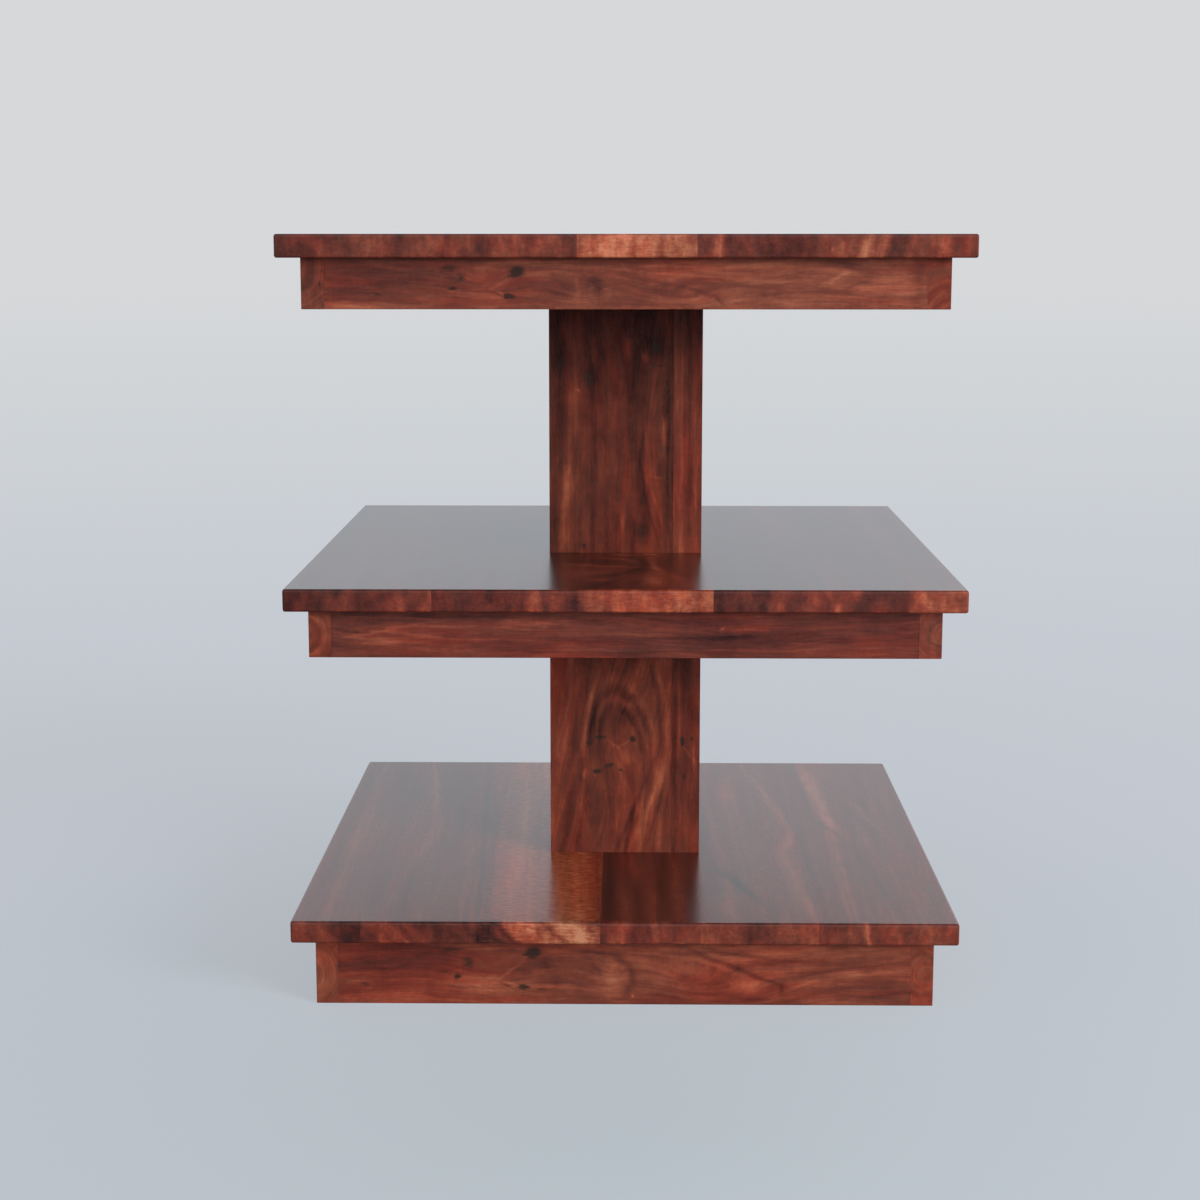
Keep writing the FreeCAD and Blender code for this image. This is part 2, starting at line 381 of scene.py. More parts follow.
# The front and back edges of a shelf, in millimetres off the end and down from the top
shelfEdge = {
    "endGrain": (9.0, 2.5),  # off the end, where the end grain begins and where it is all
    "edge": (1.8, 0.9),
    "arris": (0.5, 1.1),  # a painted dark reflection line on the arris, down to here
    "paintedArrisShade": -0.16,
    "paintedSheenTop": (0.9, 1.4),  # a painted highlight line under it
    "paintedSheenBottom": (1.9, 2.6),
    "paintedSheen": 0.05,
}

axisNumber = {"x": 0, "y": 1, "z": 2}
throughBoard = 1e5  # half depth of a mark that runs through the whole thickness


def mark(a, b, length, width):  # centre and radii of an ellipse right through the board
    return (a, b, 0.0), (length, width, throughBoard)


def insideEllipse(wood, place, centre, radii, turn):
    rotation = (0.0, 0.0, math.radians(turn))
    inputs = {"Vector": place, "Location": centre, "Rotation": rotation, "Scale": radii}
    return wood.add("Mapping", {"vector_type": "TEXTURE"}, inputs)


def hill(wood, place, centre, radii, turn=0.0):  # soft, 1 at its top
    inside = insideEllipse(wood, place, centre, radii, turn)
    ends = {0: inside, 1: inside}
    square = wood.add("VectorMath", {"operation": "DOT_PRODUCT"}, ends, output="Value")
    return square.decay()


def softArch(wood, place, centre, radii, turn, width):  # a soft line over the upper half of an ellipse
    inside = insideEllipse(wood, place, centre, radii, turn)
    distance = wood.add("VectorMath", {"operation": "LENGTH"}, {0: inside}, output="Value")
    off = (distance - 1.0) * (min(radii) / width)
    upper = wood.add("SeparateXYZ", inputs={0: inside}).rise(*boardLook["archRise"])
    return (off * off).decay() * upper


# One board of sheesham. Its place is in millimetres: along the grain, across it and through it.
class Board:
    def __init__(self, name, grain, face, seed, figure):
        self.figure = {**plainFigure, **figure}
        self.wood = newFinish(name)
        self.key = seed * boardLook["keyStep"]
        through = ({"x", "y", "z"} - {grain, face}).pop()
        axes = [axisNumber[axis] for axis in (grain, face, through)]
        parts = millimetres(self.wood)
        self.place = [parts[axis] for axis in axes]
        low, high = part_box(name)
        self.middle = [(low[axis] + high[axis]) * toMillimetres / 2.0 for axis in axes]
        self.halfLength = (high[axes[0]] - low[axes[0]]) * toMillimetres / 2.0
        self.top = high[axes[2]] * toMillimetres

    def noise(self, kind, *places, roughness=0.5):
        return self.wood.noise(grainNoises[kind], places or self.place, self.key, roughness)

    def pulled(self, kind):  # the place as the grain pulls marks of this kind askew
        along, across, depth = self.place
        (wiggleAlong, wiggleAcross), (frayAlong, frayAcross) = markPulls[kind]
        inputs = {
            0: along + self.wiggle * wiggleAlong + self.fray * frayAlong,
            1: across + self.wiggle * wiggleAcross + self.fray * frayAcross,
            2: depth,
        }
        return self.wood.add("CombineXYZ", inputs=inputs)

    def tinted(self, colour, cast):
        return self.wood.blend(1.0, colour, (*cast, 1.0), "MULTIPLY") if cast else colour

    # The grain wanders, bends round the heart of the tree, and flows round each eye
    def bendGrain(self):
        figure = self.figure
        along, across, depth = self.place
        bend = self.noise("bend") - 0.5
        self.wiggle = self.noise("wiggle") - 0.5
        self.fray = self.noise("fray") - 0.5
        sway = bend * (figure["wander"] * 2.0) + self.wiggle * boardLook["wiggle"]
        self.flow = across + sway + (along - self.middle[0]) * figure["lean"]
        self.layer = depth
        if figure["heart"]:
            side = self.flow - (self.middle[1] + figure["heart"][0])
            back = depth + sway - (self.middle[2] + figure["heart"][1])
            self.flow = (side * side + back * back).maths("SQRT")
            self.layer = depth * boardLook["heartLayer"]
        self.marks = self.pulled("marks")
        for a, b, length, width, push, turn in figure["eyes"]:
            eye = hill(self.wood, self.marks, *mark(a, b, length, width), turn)
            self.flow = self.flow.plus(eye, push)

    def makeNoises(self):
        along, across, depth = self.place
        length = along / self.figure["reach"]
        self.noises = {
            kind: self.noise(kind, self.flow, length, self.layer)
            for kind in ("broad", "flame", "streak", "thread", "fibre", "hue")
        }
        self.noises["mottle"] = self.noise("mottle", roughness=self.figure["grit"])
        self.noises["ripple"] = self.noise("ripple", self.flow, along, depth)

    # A striped board has its stripes' tones, on its top and where its end grain shows, and painted
    # light on its edges: a dark reflection line on the arris and a highlight line under it
    def stripedTone(self):
        figure = self.figure
        along, across, depth = self.place
        first, last = figure["stripes"][0][0], figure["stripes"][-1][0]
        striped = self.flow + (depth - self.middle[2]) * figure["tilt"]
        share = (striped - first) / (last - first)
        topTone, endTone = (
            self.wood.ramp(share, [((x - first) / (last - first), (t, t, t)) for x, t in figure[kind]])
            for kind in ("stripes", "endStripes")
        )
        offMiddle = (along - self.middle[0]).size()
        begin, full = (self.halfLength - inset for inset in shelfEdge["endGrain"])
        self.nearEnd = offMiddle.rise(begin, full)
        tone = topTone * (1.0 - self.nearEnd) + endTone * self.nearEnd
        quiet = self.nearEnd * (1.0 - figure["calm"]) + figure["calm"]
        for kind in ("flame", "streak", "mottle"):
            self.noises[kind] = (self.noises[kind] - 0.5) * quiet + 0.5
        for kind in ("thread", "fibre"):
            self.noises[kind] = (self.noises[kind] - 0.5) * self.nearEnd + 0.5
        # near the ends, down from the top: a painted highlight line, and a painted dark reflection line
        # on the arris
        under = self.top - depth
        begin, full = (self.halfLength - inset for inset in shelfEdge["edge"])
        atEdge = offMiddle.rise(begin, full)
        paintedSheenTop = under.rise(*shelfEdge["paintedSheenTop"])
        self.paintedSheen = paintedSheenTop * (1.0 - under.rise(*shelfEdge["paintedSheenBottom"])) * atEdge
        return tone.plus((1.0 - under.rise(*shelfEdge["arris"])) * atEdge, shelfEdge["paintedArrisShade"])

    def mixTone(self):
        figure = self.figure
        tone = self.stripedTone() if figure["stripes"] else figure["tone"]
        self.tone = (self.noises["broad"] - 0.5) * (figure["broad"] * 2.0) + tone
        for kind in ("flame", "streak", "thread", "fibre", "mottle", "ripple"):
            self.tone = self.tone.plus(self.noises[kind] - 0.5, figure[kind] * 2.0)

    def drawMarks(self):
        figure, wood = self.figure, self.wood
        for a, b, length, width, lift, *turn in figure["clouds"]:
            cloud = hill(wood, self.marks, *mark(a, b, length, width), *turn)
            self.tone = self.tone.plus(cloud, lift)
        for a, b, length, width, line, lift, turn in figure["arches"]:
            arch = softArch(wood, self.marks, *mark(a, b, length, width), turn, line)
            self.tone = self.tone.plus(arch, lift)
        lines = self.pulled("shelfStrokes" if figure["stripes"] else "strokes")
        for a1, b1, a2, b2, width, lift in figure["strokes"]:
            length = math.hypot(a2 - a1, b2 - b1) * boardLook["strokeShare"]
            turn = math.degrees(math.atan2(b2 - b1, a2 - a1))
            middle = mark((a1 + a2) / 2.0, (b1 + b2) / 2.0, length, width)
            self.tone = self.tone.plus(hill(wood, lines, *middle, turn), lift)

    def stain(self):
        figure, wood = self.figure, self.wood
        slow = boardLook["slowHue"]
        hue = self.noises["hue"] * (1.0 - slow) + self.noise("slow") * slow
        colour = wood.ramp(self.tone, woodTones)
        colour = wood.blend(1.0, colour, wood.ramp(hue, hueCasts), "MULTIPLY")
        self.colour = self.tinted(colour, figure["cast"])
        if figure["stripes"]:
            endColour = self.tinted(colour, figure["endCast"])
            # the painted highlight line under the arris
            endColour = wood.blend(self.paintedSheen * shelfEdge["paintedSheen"], endColour, paintedSheenColour)
            self.colour = wood.blend(self.nearEnd, self.colour, endColour)
        mottled = self.noises["mottle"] - 0.5
        self.roughness = mottled * boardLook["mottleRoughness"] + figure["roughness"]
        self.relief = (self.noises["fibre"] - 0.5) * boardLook["fibreRelief"]

    def openPores(self):
        along, across, depth = self.place
        pores = self.noise("pores", self.flow, along, depth).rise(*boardLook["poreEdge"])
        self.colour = self.wood.blend(pores * self.figure["pores"], self.colour, blackHeart)
        self.roughness = pores * boardLook["poreRoughness"] + self.roughness
        self.relief = self.relief - pores

    def drawKnots(self):
        figure, wood = self.figure, self.wood
        knots = [
            (*mark(a, b, length, width), turn, strength)
            for a, b, length, width, turn, strength in figure["knots"]
        ]
        knots += [
            ((a, b, depth), (length, width, thick), 0.0, strength)
            for a, b, depth, length, width, thick, strength in figure["endKnots"]
        ]
        if not knots:
            return
        place = self.pulled("knots")
        streaked = (self.noises["streak"] - 0.5) * boardLook["knotStreak"]
        dark = self.fray * boardLook["knotFray"] + streaked
        for centre, radii, turn, strength in knots:
            dark = dark.plus(hill(wood, place, centre, radii, turn), strength)
        share = dark.rise(*boardLook["knotEdge"]) * boardLook["knotDarkness"]
        self.colour = wood.blend(share, self.colour, blackHeart)

    def polish(self):
        figure, wood = self.figure, self.wood
        inputs = {"Base Color": self.colour, "Roughness": self.roughness}
        inputs["Specular IOR Level"] = figure["gloss"]
        if figure["relief"]:
            bump = {"Strength": figure["relief"], "Distance": boardLook["bumpDistance"]}
            inputs["Normal"] = wood.add("Bump", inputs={**bump, "Height": self.relief})
        wood.show(wood.add("BsdfPrincipled", inputs=inputs))


def sheesham(name, grain, face, seed, figure):
    board = Board(name, grain, face, seed, figure)
    board.bendGrain()
    board.makeNoises()
    board.mixTone()
    board.drawMarks()
    board.stain()
    if board.figure["pores"]:
        board.openPores()
    board.drawKnots()
    board.polish()
    wear(name, board.wood)


# What all planks of the shelves share, over plainFigure
shelfWood = {
    "flame": 0.20,
    "streak": 0.12,
    "thread": 0.06,
    "fibre": 0.04,
    "calm": 0.4,
    "reach": 1.6,
    "grit": 0.45,
    "wander": 4.0,
    "gloss": 0.5,
    "roughness": 0.26,
    "pores": 0.0,
    "relief": 0.0,
}

# Stripes of each shelf from left to right: place across the shelf, and tone in hundredths, on its top
# and on its front edge. The lists of six are for its planks from left to right. Twins have one number,
# as cut from one board, and casts name planks by their place in the lists.
shelfFigure = {}
shelfFigure["top"] = {
    "stripes": [
        (-275, 46), (-240, 52), (-200, 48), (-190, 50), (-150, 52), (-118, 46), (-60, 52), (-38, 48),
        (-20, 66), (20, 72), (54, 62), (58, 44), (100, 48), (130, 38), (160, 44), (190, 58), (215, 44),
        (275, 48),
    ],
    "endStripes": [
        (-275, 40), (-258, 43), (-247, 61), (-238, 47), (-228, 42), (-205, 51), (-190, 54), (-176, 50),
        (-150, 54), (-140, 47), (-130, 54), (-112, 49), (-96, 57), (-82, 52), (-64, 57), (-46, 45),
        (-41, 45), (-36, 71), (-26, 73), (-18, 82), (0, 84), (4, 68), (9, 86), (22, 82), (27, 66),
        (32, 82), (44, 82), (51, 66), (55, 74), (58, 46), (70, 50), (75, 60), (79, 78), (84, 50),
        (100, 44), (118, 44), (130, 32), (144, 36), (152, 34), (162, 58), (170, 66), (176, 56),
        (184, 86), (190, 62), (197, 66), (202, 32), (212, 34), (218, 62), (232, 54), (246, 60),
        (254, 42), (262, 56), (275, 44),
    ],
    "tilt": (0.5, 0.1, -0.1, 0.03, -0.1, -0.2),
    "lean": (0.02, -0.01, 0.0, 0.01, -0.02, 0.02),
    "twins": (0, 1, 2, 3, 4, 5),
    "casts": {},
    "endCast": (1.0, 0.94, 0.91),
    "ripple": (0.04, 0.04, 0.04, 0.12, 0.05, 0.07),
    "strokes": [],
}
shelfFigure["middle"] = {
    "stripes": [
        (-275, 36), (-220, 42), (-156, 40), (-100, 36), (-62, 34), (-56, 26), (-38, 26), (-28, 38),
        (0, 42), (20, 38), (30, 50), (50, 46), (68, 48), (74, 34), (120, 38), (160, 42), (222, 36),
        (232, 46), (275, 44),
    ],
    "endStripes": [
        (-275, 28), (-266, 42), (-258, 32), (-244, 36), (-232, 54), (-222, 36), (-212, 52), (-200, 44),
        (-184, 58), (-172, 54), (-158, 60), (-154, 40), (-140, 46), (-124, 34), (-108, 44), (-90, 36),
        (-78, 48), (-70, 66), (-64, 44), (-50, 52), (-40, 44), (-31, 50), (-26, 71), (-12, 76), (4, 82),
        (12, 69), (24, 79), (36, 65), (52, 69), (70.6, 73), (71.4, 32), (84, 40), (96, 32), (108, 44),
        (118, 62), (128, 44), (140, 50), (150, 60), (160, 48), (168, 62), (178, 44), (188, 34),
        (204, 42), (220, 36), (226, 38), (229, 66), (240, 73), (250, 64), (262, 71), (275, 62),
    ],
    "tilt": (-0.5, 0.2, 0.4, -0.3, -0.9, -0.1),
    "lean": (0.03, 0.0, -0.03, 0.02, 0.03, 0.0),
    "twins": (0, 1, 2, 3, 4, 5),
    "casts": {},
    "endCast": (1.0, 0.83, 0.79),
    "ripple": (0.04, 0.04, 0.12, 0.05, 0.06, 0.1),
    "strokes": [
        (-74, -18, -88, 6, 7, 0.32), (-98, -20, -112, 3, 5, 0.28), (-112, 3, -134, 11, 5, 0.22),
        (-112, -50, -132, 4, 12, -0.14), (-138, -52, -155, 8, 7, 0.3), (-184, -56, -188, -8, 26, 0.26),
        (-160, 13, -189, -1, 9, -0.3), (-189, -1, -206, -22, 9, -0.28), (-217, -30, -228, -13, 7, 0.28),
        (-226, -6, -262, -28, 9, -0.27), (-264, -26, -274, -44, 6, -0.22),
        (-226, 10, -222, 36, 40, 0.32), (-272, -14, -241, 0, 5, -0.22), (-241, 0, -226, 13, 5, -0.22),
        (-256, -9, -226, 5, 6, 0.22), (-78, 3, -75, 32, 8, 0.32), (-94, 12, -172, 24, 5, -0.22),
        (-106, 20, -194, 29, 4.5, 0.3), (-170, 30, -262, 60, 7, 0.18), (-120, 44, -240, 52, 7, -0.14),
    ],
}
shelfFigure["bottom"] = {
    "stripes": [
        (-275, 52), (-246, 58), (-226, 50), (-206, 61), (-188, 53), (-160, 50), (-140, 52), (-118, 63),
        (-96, 68), (-76, 70), (-60, 74), (-54, 85), (-44, 80), (-38, 84), (-28, 78), (-21, 72),
        (-18, 24), (-9, 30), (-2, 42), (12, 38), (22, 42), (28, 30), (38, 44), (48, 50), (54, 38),
        (66, 42), (80, 52), (100, 58), (120, 54), (150, 54), (180, 56), (196, 60), (210, 58), (240, 54),
        (275, 56),
    ],
    "endStripes": [
        (-275, 52), (-256, 50), (-244, 42), (-237, 25), (-222, 26), (-214, 60), (-206, 54), (-194, 64),
        (-188, 38), (-180, 50), (-172, 30), (-155, 30), (-144, 44), (-134, 29), (-126, 44), (-118, 28),
        (-112, 42), (-106, 30), (-100, 68), (-92, 76), (-84, 84), (-70, 80), (-66, 66), (-60, 90),
        (-46, 94), (-40, 86), (-33, 72), (-27, 62), (-20.4, 56), (-19.6, 34), (-12, 60), (-2, 56),
        (6, 34), (14, 54), (24, 42), (34, 58), (42, 44), (54, 56), (70, 52), (84, 60), (98, 42),
        (112, 40), (124, 54), (136, 48), (146, 58), (156, 46), (170, 54), (186, 48), (200, 54),
        (205, 82), (209, 52), (230, 58), (250, 54), (275, 56),
    ],
    "tilt": (0.1, 1.0, 1.0, -0.1, 0.1, 0.2),
    "lean": (0.02, 0.03, 0.03, 0.0, 0.02, -0.02),
    "twins": (0, 1, 1, 3, 4, 5),
    "casts": {2: (1.14, 0.92, 0.74)},
    "endCast": (1.0, 0.97, 0.97),
    "ripple": (0.03, 0.04, 0.23, 0.04, 0.04, 0.05),
    "strokes": [
        (-275, -120, 275, -146, 2.4, -0.24), (250, -202, 60, -190, 6, 0.12),
        (275, 187, 60, 193, 8, 0.26), (60, 193, -10, 206, 6, 0.16), (275, 176, 60, 181, 2.4, -0.2),
        (60, 181, -10, 200, 2.4, -0.16), (-122, 76, -140, 92, 3.5, -0.3),
        (-135, 92, -178, 102, 4.5, -0.34), (-172, 100, -212, 114, 3.5, -0.3),
        (-205, 82, -270, 86, 12, 0.12), (-225, 122, -275, 122, 6, -0.16), (260, 122, 130, 142, 5, 0.16),
        (130, 142, 0, 158, 4, 0.16), (0, 158, -70, 144, 5, 0.18), (-70, 144, -160, 149, 5, 0.14),
        (-160, 149, -275, 158, 6, 0.2), (-40, 166, -275, 168, 3.5, -0.14),
        (260, 100, 200, 92, 10, -0.16), (200, 88, 120, 84, 6, -0.1), (160, 100, 110, 102, 8, 0.12),
        (130, 222, 0, 243, 4, 0.14), (-40, 210, -270, 232, 4, -0.12), (20, 222, -120, 234, 5, 0.1),
        (270, -204, 120, -188, 4, 0.18), (120, -188, 20, -179, 5, 0.16),
        (20, -179, -110, -190, 7, 0.12), (60, -240, -60, -238, 12, 0.1),
        (-40, -160, -140, -166, 5, -0.12), (-120, -214, -275, -206, 10, -0.1),
        (100, -98, -30, -92, 5, 0.12), (-20, -98, -275, -100, 9, 0.16), (-60, -84, -275, -80, 5, 0.12),
        (250, -131, 120, -126, 4, 0.14), (262, -96, -20, -100, 17, 0.12), (150, -62, 20, -58, 10, 0.1),
        (-60, -13, -275, -12, 4, -0.14), (-76, 8, -160, 12, 9, 0.14), (-190, 26, -275, 22, 8, 0.14),
        (-60, 33, -275, 30, 4, -0.16), (-90, 44, -275, 48, 5, 0.12), (-200, 0, -275, 4, 6, 0.12),
    ],
}


def toneAt(stripes, x):
    for (left, leftTone), (right, rightTone) in zip(stripes, stripes[1:]):
        if left <= x <= right:
            return leftTone + (rightTone - leftTone) * (x - left) / (right - left)
    return stripes[-1][1]


hundredths = 100.0
jointInset = 0.5  # how far inside its joints a plank's own tones are read
strokeMargin = 6.0  # how far past its joints a stroke's middle may lie


def within(stripes, left, right):  # the stripes of one plank, with tones from 0 to 1
    inner = [(x, tone) for x, tone in stripes if left < x < right]
    first, last = toneAt(stripes, left + jointInset), toneAt(stripes, right - jointInset)
    return [(x, tone / hundredths) for x, tone in ((left, first), *inner, (right, last))]


def strokesWithin(strokes, left, right):
    left, right = left - strokeMargin, right + strokeMargin
    return [stroke for stroke in strokes if left < (stroke[1] + stroke[3]) / 2.0 < right]


def finishShelves():
    for row, (shelf, shared) in enumerate(shelfFigure.items()):
        for number, twin in enumerate(shared["twins"]):
            node = f"{shelf}_shelf_plank_{number + 1}"
            low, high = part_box(node)
            left, right = low.x * toMillimetres, high.x * toMillimetres
            figure = {**shelfWood, "cast": shared["casts"].get(number), "endCast": shared["endCast"]}
            figure.update({name: shared[name][number] for name in ("tilt", "lean", "ripple")})
            for name in ("stripes", "endStripes"):
                figure[name] = within(shared[name], left, right)
            figure["strokes"] = strokesWithin(shared["strokes"], left, right)
            sheesham(node, "y", "x", row * len(shared["twins"]) + twin, figure)
    print("shelves finished")


# Front rails and boards, whose figure is told one by one
seamLine = 0.5  # half width of a joint line
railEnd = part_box("plinth_front_rail")[1].x * toMillimetres
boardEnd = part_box("lower_column_front_board")[1].x * toMillimetres


def endJoints(low, high, lift):  # strokes along both ends of a front rail
    return [(side, low, side, high, seamLine, lift) for side in (-railEnd, railEnd)]


frontFigures = {}
frontFigures["top_frame_front_rail"] = {
    "tone": 0.575,
    "cast": (1.02, 1.12, 1.22),
    "eyes": [(-38, 590, 24, 9, 9, -6), (38, 586, 40, 12, 12, -12), (-112, 596, 26, 9, 8, -6)],
    "knots": [
        (-86, 605, 6.5, 4.6, 20, 1.3), (-92, 586, 5, 2.2, -10, 1.2), (-80, 584.5, 6, 1.2, -8, 0.6),
        (-136, 592, 3.4, 1.8, 0, 1.0), (-140, 607.5, 9, 3.6, 6, 0.78), (-130, 600, 4, 5, 0, 0.72),
        (-197, 587.5, 6, 2.2, -20, 0.62),
    ],
    "clouds": [
        (-190, 601, 46, 13, -0.2), (-54, 590, 18, 9, -0.13), (-117, 587, 18, 4, 0.18, 3),
        (-37, 590, 7, 7, 0.16), (-22, 593, 4, 8, -0.16, 20), (205, 594, 26, 9, 0.13),
        (180, 609, 22, 4, -0.15, -20), (-212, 578, 50, 4, 0.15), (100, 604, 60, 7, 0.05, -4),
        (232, 602, 5, 16, -0.1), (14, 582, 8, 4, -0.1), (50, 588, 14, 6, 0.08),
        (168, 600, 14, 4, 0.08, 20),
    ],
    "strokes": [
        (-105, 592, -88, 602, 1.0, 0.13), (-104, 591, -94, 586, 0.9, 0.12),
        (-133, 591, -105, 592, 1.4, 0.1), (-104, 589, -96, 585, 1.0, -0.16),
        (-34, 602, -19, 595, 2.2, -0.08), (-19, 595, -21, 585, 2.2, -0.08),
        (-60, 607, 0, 602, 1.8, -0.1), (0, 602, 50, 592, 1.8, -0.11), (50, 592, 72, 585, 1.8, -0.12),
        (60, 596, 130, 591, 1.6, -0.08), (72, 586, 78, 579, 1.6, -0.13), (90, 598, 160, 597, 1.4, 0.1),
        (160, 597, 178, 606, 1.6, 0.1), (100, 588, 170, 590, 1.4, -0.09),
        (170, 590, 190, 598, 1.4, -0.09), (0, 606, 80, 600, 1.2, 0.1),
        (-220, 583, -150, 580, 1.4, -0.1),
        *endJoints(560, 632, -0.12),
    ],
}
frontFigures["middle_frame_front_rail"] = {
    "tone": 0.470,
    "cast": (1.0, 1.04, 1.18),
    "wander": 5.0,
    "flame": 0.13,
    "streak": 0.13,
    "thread": 0.11,
    "mottle": 0.14,
    "eyes": [(-214, 315, 20, 5, 6, -5), (92, 311, 50, 8, 6, -5)],
    "knots": [(-217, 315, 5, 1.4, -12, 0.62)],
    "clouds": [
        (-188, 308, 30, 3.4, 0.2), (-205, 318, 40, 6, 0.08), (-74, 324, 26, 2.6, 0.2),
        (60, 304, 74, 10, -0.06), (88, 311, 34, 4.5, -0.22, -2), (80, 319.3, 1.6, 1.1, 0.34),
        (186, 300, 44, 8, 0.04), (-160, 328, 60, 4, -0.08), (-60, 310, 60, 5, -0.05),
    ],
    "strokes": [
        (-214, 313, -180, 320, 1.4, 0.14), (-212, 318, -150, 311, 1.2, 0.12),
        (130, 307, 155, 307.5, 1.0, 0.16), (90, 318.5, 118, 317.5, 1.3, 0.14),
        (-12, 314.5, 40, 313, 1.3, 0.1), (0, 309, 110, 313, 1.8, -0.1), (60, 301, 92, 300, 1.2, 0.08),
        (-150, 322, -90, 320, 1.2, -0.08), (-200, 304, -120, 300, 1.6, 0.08),
        (-236, 328, -150, 326, 1.4, 0.14), (-236, 310, -214, 313, 1.4, 0.12),
        (-180, 320, -120, 321, 1.2, 0.12), (-150, 311, -60, 308, 1.1, 0.1),
        (-110, 317, 0, 316, 1.0, -0.1), (-90, 300, 40, 299, 1.2, -0.1),
        *endJoints(280, 350, -0.1),
    ],
}
frontFigures["plinth_front_rail"] = {
    "tone": 0.58,
    "cast": (1.02, 1.1, 1.18),
    "eyes": [(-14, 22, 26, 14, 12, -6), (66, 18, 58, 17, 18, -14), (-112, 30, 34, 13, 10, -5)],
    "knots": [
        (-76, 45, 7, 5.2, 15, 1.3), (-84, 14.8, 5.5, 2.6, -10, 1.2), (-69, 12.8, 7, 1.6, -6, 0.66),
        (-139, 24, 3.8, 3.0, 0, 1.05), (-144, 47, 12, 3.8, 4, 0.8), (-130, 36, 5.5, 7, 0, 0.76),
        (-215, 16.5, 7, 2.4, -15, 0.64), (-174, 40, 10, 4, 0, 0.42),
    ],
    "clouds": [
        (-192, 35, 46, 16, -0.2), (-51, 23, 20, 11, -0.14), (-116, 18, 18, 5.5, 0.18, 3),
        (-10.5, 22, 9, 10, 0.16), (-182, 8, 36, 5, 0.12, 2), (-66, 36, 8, 6, -0.12),
        (75, 13, 17, 6, -0.13), (106, 16, 15, 7, 0.12, -15), (190, 46, 60, 6, -0.06),
        (162, 4, 22, 4, 0.1), (178, 27, 26, 4, 0.08, 4), (224, 18, 20, 7, -0.1),
        (-60, 40, 20, 6, -0.05), (36, 30, 24, 8, 0.06),
    ],
    "strokes": [
        (-104, 22, -84, 37, 1.2, 0.13), (-104, 22, -86, 15, 1.0, 0.12), (-136, 24, -104, 22, 1.6, 0.1),
        (-102, 18, -90, 12.5, 1.1, -0.16), (-39, 48, -8, 42, 2.2, -0.14), (-8, 42, 7, 32, 3.0, -0.18),
        (7, 32, 8, 20, 3.0, -0.17), (8, 20, 0, 8, 2.8, -0.14), (-30, 40, -20, 24, 2.4, -0.08),
        (52, 49, 81, 37, 1.9, -0.15), (81, 37, 110, 25, 1.9, -0.16), (110, 25, 131, 17.5, 1.9, -0.18),
        (131, 17.5, 131, 10, 1.9, -0.17), (66, 49, 110, 41, 2.0, -0.14), (110, 41, 184, 36, 2.0, -0.1),
        (6, 7, 8, 8, 1.4, 0.26), (134, 12, 160, 22, 1.6, 0.12), (160, 22, 236, 31, 1.6, 0.12),
        (136, 22, 170, 30, 1.4, -0.1), (170, 30, 236, 38, 1.4, -0.1), (-2, 47, 60, 40, 1.6, 0.1),
        (60, 40, 96, 27, 1.6, 0.1), (84, 6, 128, 5, 1.6, -0.1), (-160, 26, -142, 30, 1.4, -0.1),
        *endJoints(-20, 78, -0.12),
    ],
}
frontFigures["plinth_left_rail"] = {"tone": 0.62, "cast": (1.0, 1.06, 1.1), "heart": (-2, -14)}
frontFigures["plinth_right_rail"] = {"tone": 0.6, "cast": (1.0, 1.1, 1.16), "heart": (-4, 1)}
frontFigures["middle_frame_left_rail"] = {"tone": 0.56, "cast": (1.0, 1.1, 1.14), "heart": (-2, -13)}
frontFigures["middle_frame_right_rail"] = {"tone": 0.56, "cast": (1.0, 1.12, 1.28), "heart": (3, 12)}
frontFigures["top_frame_left_rail"] = {
    "tone": 0.53,
    "cast": (1.0, 1.08, 1.14),
    "heart": (18, -14),
    "endKnots": [(-254, 595.5, -242, 10, 2.2, 1.6, 1.1), (-254, 606, -240, 10, 1.6, 1.2, 0.7)],
}
frontFigures["top_frame_right_rail"] = {"tone": 0.53, "cast": (1.0, 1.1, 1.16), "heart": (-26, 12)}
